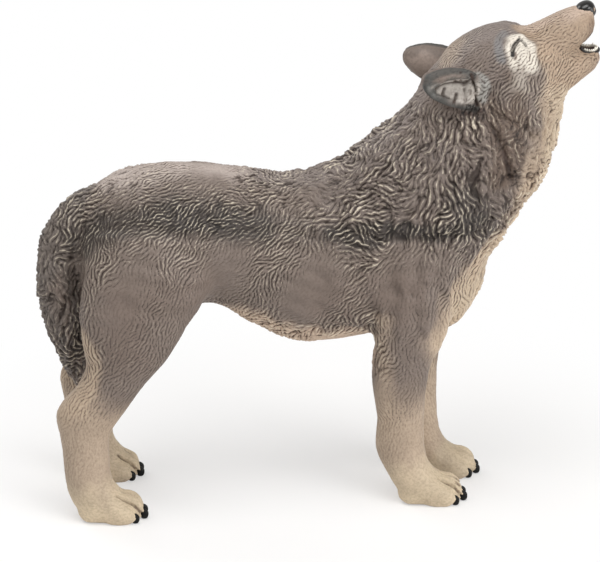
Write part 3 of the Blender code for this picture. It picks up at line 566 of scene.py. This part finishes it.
# Paint, in the order it goes on: colour, strength, the points of the stroke on the right
# side, its radius, and how much of the radius is soft edge.
PAINT = (
    (WARM_BROWN, 0.5, ((12.6, 12.0, 40.0), (2.6, 11.0, 38.0)), 9.0, 0.8),
    (WARM_BROWN, 0.5, ((-21.0, 11.0, 42.0), (-31.9, 13.0, 40.0), (-33.0, 12.0, 31.0)), 6.5, 0.9),
    (TAN, 0.85, ((13.1, 8.0, 11.0), (14.6, 8.0, 2.0)), 15.5, 0.75),
    (CREAM, 0.95, ((14.6, 6.0, 2.0), (24.6, 6.0, 2.0)), 8.5, 0.75),
    (TAN, 0.5, ((10.4, 10.0, 34.0), (10.2, 10.0, 16.0)), 3.2, 0.9),
    (TAN, 0.9, ((19.8, 3.0, 28.0), (19.8, 3.0, 8.0)), 4.6, 0.6),
    (WARM_BROWN, 0.1, ((15.6, 11.0, 36.0), (15.1, 10.5, 27.0), (14.6, 10.0, 18.0)), 3.2, 0.9),
    (TAN, 0.8, ((-39.4, 9.0, 16.0), (-37.4, 9.0, 4.0)), 10.5, 0.6),
    (CREAM, 0.95, ((-39.4, 9.0, 2.0), (-32.4, 9.0, 2.0)), 8.0, 0.75),
    (TAN, 0.8, ((-41.4, 9.0, 31.0), (-43.4, 9.0, 20.0)), 4.6, 0.7),
    (TAN, 0.85, ((-39.8, 11.0, 33.0), (-38.6, 12.0, 28.0), (-41.0, 12.0, 21.0)), 3.0, 0.7),
    (TAN, 0.75, ((-29.4, 3.5, 34.0), (-35.4, 5.0, 25.0), (-38.4, 5.5, 13.0)), 4.0, 0.6),
    (BELLY, 0.9, ((-13.4, 3.0, 32.0), (-3.4, 4.0, 29.5), (7.6, 3.0, 29.0)), 6.8, 0.5),
    (SILVER, 0.95, ((-35.4, 0.0, 60.0), (-20.4, 0.0, 62.0), (-13.0, 0.0, 61.0)), 6.8, 0.7),
    (SMOKE, 0.8, ((-7.4, 0.0, 59.0), (4.6, 0.0, 61.0), (12.6, 0.0, 67.0), (19.6, 0.0, 75.0)), 7.0, 0.6),
    (DARK_GREY, 1.0, ((-39.4, 6.0, 49.0), (-34.9, 8.5, 52.4), (-26.4, 9.0, 54.2), (-17.4, 9.0, 53.2),
                      (-10.4, 9.3, 51.8)), 5.0, 0.85),
    (DARK_GREY, 0.4, ((-8.4, 9.3, 51.6), (1.6, 10.6, 50.4)), 3.6, 0.9),
    (RUFF_GREY, 0.85, ((5.6, 8.0, 54.0), (12.6, 9.5, 61.0), (20.6, 11.0, 60.0),
                       (25.6, 12.0, 53.0)), 8.5, 0.45),
    # Painted shadow: a dark line under the ruff's lower edge, where the ruff overhangs the shoulder and arm
    (DARK_GREY, 1.0, ((1.6, 10.6, 50.8), (6.6, 11.0, 50.4), (13.6, 12.0, 51.0), (21.0, 12.2, 51.8),
                      (26.0, 11.6, 52.2)), 2.8, 0.7),
    (DARK_GREY, 0.75, ((22.6, 12.2, 56.0), (26.6, 12.4, 53.0), (28.6, 11.5, 49.5)), 4.0, 0.7),
    (TAN, 1.0, ((42.0, 0.0, 74.0), (40.5, 0.0, 66.0), (39.0, 0.0, 59.0)), 11.4, 0.3),
    (TAN, 0.95, ((39.0, 0.0, 59.0), (35.5, 0.0, 52.5)), 10.6, 0.35),
    (TAN, 0.9, ((35.5, 0.0, 52.5), (31.0, 0.0, 46.0)), 9.6, 0.4),
    (TAN, 1.0, ((28.0, 2.0, 45.0), (26.6, 4.0, 38.0), (22.0, 5.0, 31.0)), 9.2, 0.4),
    (THROAT, 0.9, ((42.0, 0.0, 71.0), (40.5, 0.0, 64.0), (38.5, 0.0, 57.0), (34.5, 0.0, 49.0)), 9.0, 0.5),
    (THROAT, 0.65, ((29.0, 0.0, 45.0), (25.6, 4.0, 37.0), (22.6, 6.0, 31.0)), 6.4, 0.6),
    (TAN, 0.8, ((34.6, 9.6, 61.0), (34.2, 8.6, 56.0)), 3.8, 0.8),
    (CHEEK_BROWN, 1.0, ((29.6, 10.0, 74.0), (31.4, 11.0, 66.5), (30.0, 12.0, 61.0)), 4.4, 0.5),
    (SMOKE, 0.85, ((32.1, 0.0, 84.0), (24.6, 0.0, 82.0), (19.6, 0.0, 78.0)), 6.2, 0.45),
    (TAN, 0.5, ((23.0, 0.0, 80.0), (20.6, 2.0, 78.0)), 3.6, 0.7),
    (RUFF_GREY, 0.85, ((29.4, 7.5, 79.4), (28.3, 9.0, 77.0), (29.6, 10.0, 73.0)), 2.8, 0.7),
    (MUZZLE_TAN, 1.0, ((37.1, 0.0, 82.0), (41.6, 0.0, 83.0), (47.6, 0.0, 85.0)), 5.8, 0.35),
    (MUZZLE_TAN, 1.0, ((38.4, 3.0, 77.0), (47.6, 0.0, 78.0)), 5.8, 0.35),
    (BRIDGE, 0.8, ((35.6, 0.0, 83.0), (40.0, 0.0, 84.8), (44.0, 0.0, 86.6)), 3.6, 0.6),
    (EYE_BROWN, 0.55, ((45.0, 2.4, 83.0), (45.4, 2.4, 81.0)), 2.0, 0.8),
    (BRIDGE, 0.6, ((47.0, 0.0, 76.4), (44.0, 0.0, 73.4)), 3.6, 0.6),
    (BLUE_GREY, 0.6, ((30.2, 3.0, 82.6), (29.4, 5.0, 81.8), (29.0, 6.8, 80.6), (29.2, 8.2, 79.0)), 1.2, 0.7),
    (PALE, 0.35, ((32.8, 8.8, 78.0), (32.4, 9.6, 75.0)), 2.3, 0.9),
    (PALE, 1.0, ((31.4, 5.0, 81.6), (33.4, 4.6, 81.5)), 1.6, 0.5),
    (PALE, 0.95, ((32.0, 6.8, 80.3), (32.2, 8.0, 78.7)), 2.4, 0.5),
    (PALE, 1.0, ((33.8, 6.4, 80.2), (33.9, 8.0, 78.6)), 2.6, 0.5),
    (EAR_BACK, 0.95, ((17.4, 8.0, 75.0), (20.0, 7.2, 75.8)), 2.8, 0.4),
    (EAR_BROWN, 0.8, ((15.6, 9.4, 76.0), (15.2, 9.2, 73.6)), 1.1, 0.6),
    (EAR_GREY, 0.9, ((18.4, 11.6, 75.6), (21.0, 11.8, 75.6), (23.6, 10.9, 75.0)), 2.4, 0.45),
    (EAR_PALE, 1.0, ((19.0, 9.8, 75.0), (22.0, 9.4, 74.6), (26.0, 9.1, 74.2)), 2.2, 0.4),
    (TAIL_GREY, 0.85, ((-40.4, 0.0, 55.0), (-45.4, 0.0, 46.0), (-45.4, 0.0, 36.0),
                       (-42.9, 0.0, 25.0)), 5.0, 0.4),
    # Painted shade: a dark stroke down the front of the tail, in the gap between the tail and the thigh
    (DARK_GREY, 0.7, ((-41.7, 3.6, 50.0), (-41.0, 3.6, 38.0), (-40.4, 3.0, 28.0)), 1.8, 0.7),
    (WARM_BROWN, 0.8, ((-41.6, 0.0, 22.0), (-41.4, 0.0, 18.0)), 3.0, 0.6),
)


# The pale patch reaches less far up the left brow: a stroke on that side only
LEFT_BROW = (SMOKE, 1.0, ((30.2, 4.0, 82.3), (32.0, 3.8, 82.3), (34.2, 3.2, 82.0)), 1.5, 0.4)


def on_skin(tree, stroke):
    """The same stroke, moved to where the skin of the right side is nearest."""
    found = [tree.find_nearest((x, -y, z))[0] for x, y, z in stroke]
    return [(x, -y, z) for x, y, z in found]


def from_stroke(points, stroke):
    """How far each point is from a line through the stroke's places."""
    stroke = np.array(stroke, float)
    if len(stroke) == 1:
        return np.linalg.norm(points - stroke[0], axis=1)
    nearest = np.full(len(points), 1e9)
    for a, b in zip(stroke, stroke[1:]):
        way = b - a
        share = np.clip((points - a) @ way / (way @ way), 0, 1)
        nearest = np.minimum(nearest, np.linalg.norm(points - a - share[:, None] * way, axis=1))
    return nearest


def cover(colour, shade, share):
    """Lays a paint over the colours, with its own share at each point."""
    colour += (np.array(linear(shade)) - colour) * share[:, None]


def painted(points, tree):
    """The coat's colour at each point, before the fur's own light and shade, and where fine marks are."""
    spot = mirrored(points)
    wander = np.stack([waves(spot, 5.0, 20 + k) + 0.6 * waves(spot, 2.0, 30 + k) for k in range(3)], 1)
    loose = spot + 0.55 * wander
    colour = np.tile(linear(GREY_BROWN), (len(points), 1))
    strokes = [(loose, *row) for row in PAINT] + [(points, *LEFT_BROW)]
    for places, shade, strength, stroke, radius, soft in strokes:
        far = from_stroke(places, stroke)
        cover(colour, shade, strength * (1 - smoothstep(radius * (1 - soft), radius, far)))
    mark = np.zeros(len(points))
    # Painted shade: a dark brown line in each groove between the toes
    grooves = [(EYE_BROWN, 0.8, stroke, 0.7 * radius) for stroke, radius, _ in TOE_GROOVES]
    for shade, strength, stroke, radius in list(MARKS) + grooves:
        far = from_stroke(spot, on_skin(tree, stroke))
        share = strength * (1 - smoothstep(0.6 * radius, 1.15 * radius, far))
        cover(colour, shade, share)
        mark = np.maximum(mark, share)
    return colour, mark


def holes(faces):
    """The edges round the holes where a part of the skin was cut out, and the points of each hole."""
    ends = np.concatenate([faces[:, [k, (k + 1) % 4]] for k in range(4)])
    there = {tuple(edge) for edge in ends.tolist()}
    rim = [edge for edge in there if edge[::-1] not in there]
    group = {}
    for a, b in rim:
        joined = group.get(a, {a}) | group.get(b, {b})
        for c in joined:
            group[c] = joined
    return rim, {id(g): g for g in group.values()}


def coat_piece(name, skin, normals, chosen, values, material):
    """One closed piece of the coat, with the whole skin's normals so that no seam shows."""
    faces = skin.quads[chosen]
    rim, groups = holes(faces)
    used = np.unique(faces)
    number = np.full(len(skin.points), -1)
    number[used] = np.arange(len(used))
    points = [skin.points[used]]
    middles = {}
    for key, group in groups.items():
        middles[key] = len(used) + len(middles)
        points.append(skin.points[sorted(group)].mean(0)[None])
    home = {c: middles[key] for key, group in groups.items() for c in group}
    lids = [[int(number[b]), int(number[a]), home[a]] for a, b in sorted(rim)]
    points = np.concatenate(points)
    mesh = as_mesh(name, points, number[faces].tolist() + lids)
    mesh.polygons.foreach_set("use_smooth", np.ones(len(mesh.polygons), bool))
    smooth = np.concatenate([normals[used], np.tile((0.0, 0.0, 1.0), (len(middles), 1))])
    mesh.normals_split_custom_set_from_vertices(smooth.tolist())
    for key, value in values.items():
        value = value[used]
        if value.ndim == 2:
            filled = np.ones((len(points), 4), np.float32)
            filled[: len(used), :3] = value
            mesh.attributes.new(key, "FLOAT_COLOR", "POINT").data.foreach_set("color", filled.ravel())
        else:
            filled = np.zeros(len(points), np.float32)
            filled[: len(used)] = value
            mesh.attributes.new(key, "FLOAT", "POINT").data.foreach_set("value", filled)
    mesh.materials.append(material)
    placed(name, mesh)


def placed(name, mesh):
    """Puts in a piece that stands for part of the wolf."""
    made = bpy.data.objects.new(name, mesh)
    bpy.context.scene.collection.objects.link(made)
    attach(made, "root")
    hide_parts("wolf")


# Materials

class Nodes:
    """Short names for the nodes that the materials are made of."""

    def __init__(self, name):
        self.material = bpy.data.materials.new(name)
        self.material.use_nodes = True
        self.tree = self.material.node_tree
        self.shader = self.tree.nodes["Principled BSDF"]

    def new(self, kind, **settings):
        """A node of this kind with these settings."""
        node = self.tree.nodes.new("ShaderNode" + kind)
        for key, value in settings.items():
            setattr(node, key, value)
        return node

    def link(self, source, target):
        """Feeds a socket from another one, or gives it a number or a colour."""
        if isinstance(source, bpy.types.NodeSocket):
            self.tree.links.new(source, target)
        else:
            target.default_value = source

    def attribute(self, name, output="Fac"):
        """What the mesh holds under this name."""
        return self.new("Attribute", attribute_name=name).outputs[output]

    def math(self, operation, a, b=0.0, c=0.0):
        node = self.new("Math", operation=operation)
        for socket, value in zip(node.inputs, (a, b, c)):
            self.link(value, socket)
        return node.outputs[0]

    def ramp(self, value, low, high, to_low=0.0, to_high=1.0):
        """A value that goes softly from to_low to to_high between low and high."""
        node = self.new("MapRange", interpolation_type="SMOOTHSTEP")
        for socket, number in zip(node.inputs, (value, low, high, to_low, to_high)):
            self.link(number, socket)
        return node.outputs[0]

    def mix(self, share, a, b, how="MIX"):
        node = self.new("Mix", data_type="RGBA", blend_type=how)
        self.link(share, node.inputs[0])
        self.link(a, node.inputs[6])
        self.link(b, node.inputs[7])
        return node.outputs[2]

    def noise(self, size, detail=2.0, rough=0.5):
        """Noise whose bumps are about this many millimetres across."""
        node = self.new("TexNoise")
        node.inputs["Scale"].default_value = 1 / (size * MM)
        node.inputs["Detail"].default_value = detail
        node.inputs["Roughness"].default_value = rough
        self.link(self.new("TexCoord").outputs["Object"], node.inputs["Vector"])
        return node.outputs["Fac"]

    def bump(self, height, depth, strength=1.0):
        """The direction of a surface that is uneven by this many millimetres."""
        node = self.new("Bump")
        node.inputs["Distance"].default_value = depth * MM
        node.inputs["Strength"].default_value = strength
        self.link(height, node.inputs["Height"])
        return node.outputs["Normal"]


def coat_material():
    """Vinyl, sprayed in its colours, washed dark in the grooves and dry-brushed on the ridges."""
    n = Nodes("painted_coat")
    colour = n.attribute("coat", "Color")
    relief = n.attribute("relief")
    strand = n.attribute("strand")
    ridge = n.attribute("ridge")
    depth = n.attribute("depth")
    hollow = n.attribute("hollow")
    lock = n.attribute("lock")
    patch = n.noise(7.0, 3.0)
    speck = n.noise(0.45, 3.0, 0.6)
    deep = n.ramp(depth, 0.26, 0.46)

    shade = n.mix(n.ramp(patch, 0.3, 0.7, 0.0, 0.22), colour, (*linear(PATCH), 1))
    wash = n.mix(1.0, shade, (*linear(WASH), 1), "MULTIPLY")
    brush = n.mix(0.76, shade, (*linear(BRUSH), 1))
    low = n.math("MULTIPLY", n.ramp(relief, 0.5, 0.1), deep)
    low = n.math("MAXIMUM", low, n.math("MULTIPLY", n.ramp(hollow, -0.1, -0.5), 0.85))
    groove = n.math("MULTIPLY", n.ramp(ridge, 0.75, 0.15), n.ramp(depth, 0.06, 0.32, 0.12, 1.0))
    top = n.math("MULTIPLY", n.ramp(strand, 0.4, 0.97), n.ramp(depth, 0.12, 0.5, 0.16, 1.0))
    uneven = n.math("ADD", speck, n.math("MULTIPLY", lock, 0.35))
    top = n.math("MULTIPLY", top, n.ramp(uneven, 0.35, 0.75, 0.3, 1.0))
    top = n.math("MULTIPLY", top, n.ramp(n.noise(1.9, 2.0), 0.36, 0.58, 0.3, 1.0))
    top = n.math("MULTIPLY", top, n.ramp(n.attribute("mark"), 0.6, 0.1))
    shade = n.mix(top, shade, brush)
    for share in (groove, low):
        shade = n.mix(share, shade, wash)
    shade = n.mix(n.ramp(speck, 0.3, 0.62, 0.22, 0.0), shade, wash)
    n.link(shade, n.shader.inputs["Base Color"])
    uneven = n.math("ADD", n.math("MULTIPLY", patch, 0.4), n.math("MULTIPLY", speck, 0.6))
    n.link(n.ramp(uneven, 0.3, 0.7, 0.5, 0.68), n.shader.inputs["Roughness"])
    n.shader.inputs["Specular IOR Level"].default_value = 0.38
    n.link(n.bump(speck, 0.045, 0.7), n.shader.inputs["Normal"])
    return n.material


def plain_material(name, colour, rough, second=None, spec=0.5):
    """Painted vinyl in one colour, with brush marks and small unevenness."""
    n = Nodes(name)
    marks = n.noise(0.6, 4.0, 0.6)
    patch = n.noise(2.2, 3.0)
    second = second or tuple(min(1.0, c * 1.5 + 0.03) for c in colour)
    shade = n.mix(n.ramp(marks, 0.4, 0.8, 0.0, 0.35), (*linear(colour), 1), (*linear(second), 1))
    n.link(shade, n.shader.inputs["Base Color"])
    n.link(n.ramp(patch, 0.3, 0.7, rough * 0.8, min(1.0, rough * 1.3)), n.shader.inputs["Roughness"])
    n.shader.inputs["Specular IOR Level"].default_value = spec
    n.link(n.bump(marks, 0.02), n.shader.inputs["Normal"])
    return n.material


# Small pieces

def tube(path, radii, sides=10):
    """Points and faces of a closed round bar along a path, with a radius at each place."""
    path = np.asarray(path, float)
    ahead = unit(np.gradient(path, axis=0))
    side = unit(np.cross(ahead, (0.0, 1.0, 0.01)))
    up = np.cross(side, ahead)
    points = []
    for place, s, u, r in zip(path, side, up, radii):
        for k in range(sides):
            turn = 2 * math.pi * k / sides
            points.append(place + r * (math.cos(turn) * s + math.sin(turn) * u))
    faces = []
    for i in range(len(path) - 1):
        for k in range(sides):
            a, b = i * sides + k, i * sides + (k + 1) % sides
            faces.append((a, b, b + sides, a + sides))
    faces.append(tuple(reversed(range(sides))))
    faces.append(tuple(range((len(path) - 1) * sides, len(path) * sides)))
    return np.array(points), faces


def small_piece(name, parts, material):
    """One object out of several closed bodies."""
    bm = bmesh.new()
    for points, faces in parts:
        made = [bm.verts.new(Vector(p) * MM) for p in points]
        for face in faces:
            bm.faces.new([made[k] for k in face])
    bmesh.ops.recalc_face_normals(bm, faces=bm.faces)
    for face in bm.faces:
        face.smooth = True
    mesh = bpy.data.meshes.new(name)
    bm.to_mesh(mesh)
    bm.free()
    mesh.materials.append(material)
    placed(name, mesh)


def curve(places, count):
    """Evenly numbered points on a smooth curve through the places."""
    places = np.asarray(places, float)
    padded = np.vstack([2 * places[0] - places[1], places, 2 * places[-1] - places[-2]])
    found = []
    for t in np.linspace(0, len(places) - 1, count):
        i = min(int(t), len(places) - 2)
        t -= i
        p0, p1, p2, p3 = padded[i : i + 4]
        bend = 2 * p0 - 5 * p1 + 4 * p2 - p3
        twist = 3 * p1 - p0 - 3 * p2 + p3
        found.append(0.5 * (2 * p1 + (p2 - p0) * t + bend * t**2 + twist * t**3))
    return np.array(found)


def taken(bm):
    """The points and faces of a body."""
    bm.verts.index_update()
    points = [v.co.copy() for v in bm.verts]
    faces = [tuple(v.index for v in f.verts) for f in bm.faces]
    bm.free()
    return points, faces


def nose_body():
    """The nose leather: a blunt wedge with two nostrils."""
    bm = bmesh.new()
    bmesh.ops.create_uvsphere(bm, u_segments=48, v_segments=32, radius=1)
    for v in bm.verts:
        x, y, z = v.co
        x, y, z = (math.copysign(abs(c) ** 0.85, c) for c in (x, y, z))
        narrow = 1 - 0.28 * (0.5 - 0.5 * z)
        dent = math.exp(-(((abs(y) - 0.48) / 0.2) ** 2 + ((z + 0.18) / 0.26) ** 2)) * max(0.0, x)
        cleft = math.exp(-((y / 0.09) ** 2)) * (0.10 if z < 0.1 else 0.04) * max(0.0, x)
        v.co = ((1 - 0.34 * dent - cleft) * x * NOSE_SIZE[0], y * narrow * NOSE_SIZE[1], z * NOSE_SIZE[2])
    turn = Matrix.Translation(NOSE_AT) @ Matrix.Rotation(math.radians(-24), 4, "Y")
    bm.transform(turn)
    return taken(bm)


def claw(x, y):
    """A blunt claw that stands out of the front of its toe."""
    bm = bmesh.new()
    bmesh.ops.create_uvsphere(bm, u_segments=20, v_segments=14, radius=1)
    for v in bm.verts:
        a, b, c = (math.copysign(abs(q) ** 0.8, q) for q in v.co)
        v.co = (x + 0.16 + 0.72 * a - 0.3 * max(0.0, c) ** 2, y + 0.5 * b * (1 - 0.22 * c), 0.98 + 0.92 * c)
    return taken(bm)


def claws():
    """The four claws of each paw: the two in the middle stand further forward."""
    return [claw(x + ahead, y + across) for x, y in PAWS for ahead, across in TOES]


def jaw_line(side_way, height, back, count=40):
    """A curve round the lower jaw, from the right corner of the mouth to the left one."""
    right = [(43.6 + back, -side_way, 79.1 + height), (44.3, -side_way, 78.35 + height),
             (45.6, -side_way, 78.1 + height), (46.6 - back, -0.7 * side_way, 78.2 + height)]
    left = [(x, -y, z) for x, y, z in reversed(right)]
    return curve(right + [(46.95 - back, 0.0, 78.25 + height)] + left, count)


def teeth():
    """A row of small lower teeth, with a longer one at each front corner."""
    path = jaw_line(1.5, 0.3, 0.3, 30)[4:-4]
    made = []
    for k, place in enumerate(path):
        long = 0.5 if k in (6, len(path) - 7) else 0.24
        tip = place + np.array((0.0, 0.0, long))
        line = [place - (0, 0, 0.25), place, (place + tip) / 2, tip]
        made.append(tube(line, (0.2, 0.2, 0.16, 0.06), sides=8))
    return made


def sculpted():
    """The skin with its folds and fur, the directions out of it, and the values its paint reads."""
    form = Skin(remeshed(WOLF.data.copy(), FORM_VOXEL))
    form.smooth(FORM_SMOOTHING)
    skin = Skin(remeshed(as_mesh("form", form.points, form.quads.tolist()), COAT_VOXEL))
    normals = skin.normals()
    spot = mirrored(skin.points)
    tree = BVHTree.FromPolygons(form.points.tolist(), form.quads.tolist())
    for stroke, radius, height in CARVED + TOE_GROOVES:
        share = 1 - smoothstep(0, radius, from_stroke(spot, on_skin(tree, stroke)))
        skin.points += normals * (height * share)[:, None]
    hollow = ((skin.points - skin.levelled(60, 0.6)) * normals).sum(1)
    normals = skin.normals()

    way, size = fur_at(skin.points)
    length, width, height, curl = size.T
    ahead, side = flow_at(skin.points, normals, way, curl)
    shaggy = smoothstep(*SHAGGY, height)
    reach, spread = LOCK_LENGTH * length, LOCK_WIDTH * width
    relief, lock = lay_locks(
        skin.points, normals, ahead, side, reach, spread, LOCK_COVER, shaggy < 0.02)
    relief = skin.spread(relief * shaggy + 0.5 * (1 - shaggy), 1)
    gap = STRAND_GAP[0] + STRAND_GAP[1] * width
    turn, clear = strands(skin.points, ahead, side, STRAND_LENGTH * length, gap, STRAND_COVER)
    clear *= np.clip(0.85 + 0.25 * waves(skin.points, 6.0, 41), 0.4, 1.0)
    ridge = 1 - clear * (1 - np.abs(np.cos(turn / 2)))
    rise = height * LOCK_RISE * shaggy * (relief - LOCK_MIDDLE)
    rise += (STRAND_RISE[0] + STRAND_RISE[1] * height) * (ridge - STRAND_MIDDLE)
    soles = smoothstep(0.9, 0.3, skin.points[:, 2])
    skin.points += normals * (rise * (1 - soles))[:, None]

    coat, mark = painted(skin.points, tree)
    values = {
        "coat": coat,
        "relief": relief,
        "strand": clear * np.cos(turn),
        "ridge": ridge,
        "mark": mark,
        "depth": height,
        "hollow": hollow,
        "lock": lock,
    }
    return skin, skin.normals(), values


def regions(skin):
    """Which faces each piece of the coat has."""
    x, _, z = skin.points[skin.quads].mean(1).T
    head = (x - HEAD_CUT[0]) * 0.5 + (z - HEAD_CUT[1]) * 0.866 > 0
    ruff = ~head & ((x - RUFF_CUT[0]) * 0.75 + (z - RUFF_CUT[1]) * 0.66 > 0) & (x > CHEST_X)
    fore = ~head & ~ruff & (x > CHEST_X) & (z < FORE_LEG_TOP)
    hind = (x < HIND_LEG_X) & (z < HIND_LEG_TOP)
    haunch = ~hind & (x < HAUNCH_X)
    return {
        "coat_head": head,
        "coat_ruff": ruff,
        "coat_fore_legs": fore,
        "coat_trunk": ~(head | ruff | fore | hind | haunch),
        "coat_haunch": haunch,
        "coat_hind_legs": hind,
    }


def main():
    skin, normals, values = sculpted()
    coat_paint = coat_material()
    for name, chosen in regions(skin).items():
        coat_piece(name, skin, normals, np.flatnonzero(chosen), values, coat_paint)
    small_piece("nose", [nose_body()], plain_material("nose_black", BLACK, 0.22, spec=0.6))
    claw_paint = plain_material("claw_black", CLAW, 0.45, CLAW_WORN, spec=0.25)
    small_piece("claws", claws(), claw_paint)
    path = jaw_line(1.95, 0.0, 0.0)
    small_piece("lips", [tube(path, [0.23] * len(path))], plain_material("lip_black", LIP, 0.3))
    small_piece("teeth", teeth(), plain_material("tooth_white", TOOTH, 0.35))
    stage()


# Studio

def stage():
    """A pale floor before a white backdrop, four soft lamps, and the photograph's camera."""
    bpy.context.scene.view_settings.view_transform = "Standard"
    set_camera()
    set_sky()
    set_floor()
    for row in LAMPS:
        lamp(*row)


def set_camera():
    yaw, drop = math.radians(CAMERA_YAW), math.radians(CAMERA_DROP)
    ahead = Vector((math.sin(yaw) * math.cos(drop), math.cos(yaw) * math.cos(drop), -math.sin(drop)))
    camera = bpy.data.cameras.new("camera")
    camera.lens = CAMERA_DISTANCE / CAMERA_WIDTH_SEEN * camera.sensor_width
    camera.clip_start = 0.05
    camera.clip_end = 20
    eye = bpy.data.objects.new("camera", camera)
    bpy.context.scene.collection.objects.link(eye)
    eye.location = (Vector(CAMERA_AIM) - ahead * CAMERA_DISTANCE) * MM
    eye.rotation_euler = ahead.to_track_quat("-Z", "Y").to_euler()
    bpy.context.scene.camera = eye


def set_sky():
    """Even light from all round; the camera sees plain white there."""
    world = bpy.data.worlds.new("studio")
    bpy.context.scene.world = world
    world.use_nodes = True
    nodes, links = world.node_tree.nodes, world.node_tree.links
    sky = nodes["Background"]
    path = nodes.new("ShaderNodeLightPath")
    seen = nodes.new("ShaderNodeBackground")
    seen.inputs["Color"].default_value = WHITE
    sky.inputs["Color"].default_value = (*SKY, 1)
    sky.inputs["Strength"].default_value = 0.5
    either = nodes.new("ShaderNodeMixShader")
    links.new(path.outputs["Is Camera Ray"], either.inputs[0])
    links.new(sky.outputs[0], either.inputs[1])
    links.new(seen.outputs[0], either.inputs[2])
    links.new(either.outputs[0], nodes["World Output"].inputs["Surface"])


def set_floor():
    """A round floor that shows the shadow and fades to white around it."""
    bm = bmesh.new()
    bmesh.ops.create_circle(bm, cap_ends=True, segments=96, radius=1.2)
    mesh = bpy.data.meshes.new("floor")
    bm.to_mesh(mesh)
    bm.free()
    floor = bpy.data.objects.new("floor", mesh)
    bpy.context.scene.collection.objects.link(floor)
    n = Nodes("floor_white")
    n.shader.inputs["Base Color"].default_value = (*FLOOR, 1)
    n.shader.inputs["Roughness"].default_value = 0.55
    n.shader.inputs["Specular IOR Level"].default_value = 0.2
    glow = n.new("Emission")
    glow.inputs["Color"].default_value = WHITE
    away = n.new("VectorMath", operation="LENGTH")
    n.link(n.new("TexCoord").outputs["Object"], away.inputs[0])
    far = n.ramp(away.outputs["Value"], 0.045, 0.09, 0.42, 1.0)
    only = n.math("MULTIPLY", far, n.new("LightPath").outputs["Is Camera Ray"])
    both = n.new("MixShader")
    n.link(only, both.inputs[0])
    n.link(n.shader.outputs[0], both.inputs[1])
    n.link(glow.outputs[0], both.inputs[2])
    n.link(both.outputs[0], n.tree.nodes["Material Output"].inputs["Surface"])
    mesh.materials.append(n.material)


def lamp(name, place, aim, width, power):
    light = bpy.data.lights.new(name, "AREA")
    light.shape = "DISK"
    light.size = width * MM
    light.energy = power
    made = bpy.data.objects.new(name, light)
    bpy.context.scene.collection.objects.link(made)
    made.location = Vector(place) * MM
    made.rotation_euler = (Vector(aim) - Vector(place)).to_track_quat("-Z", "Y").to_euler()


main()
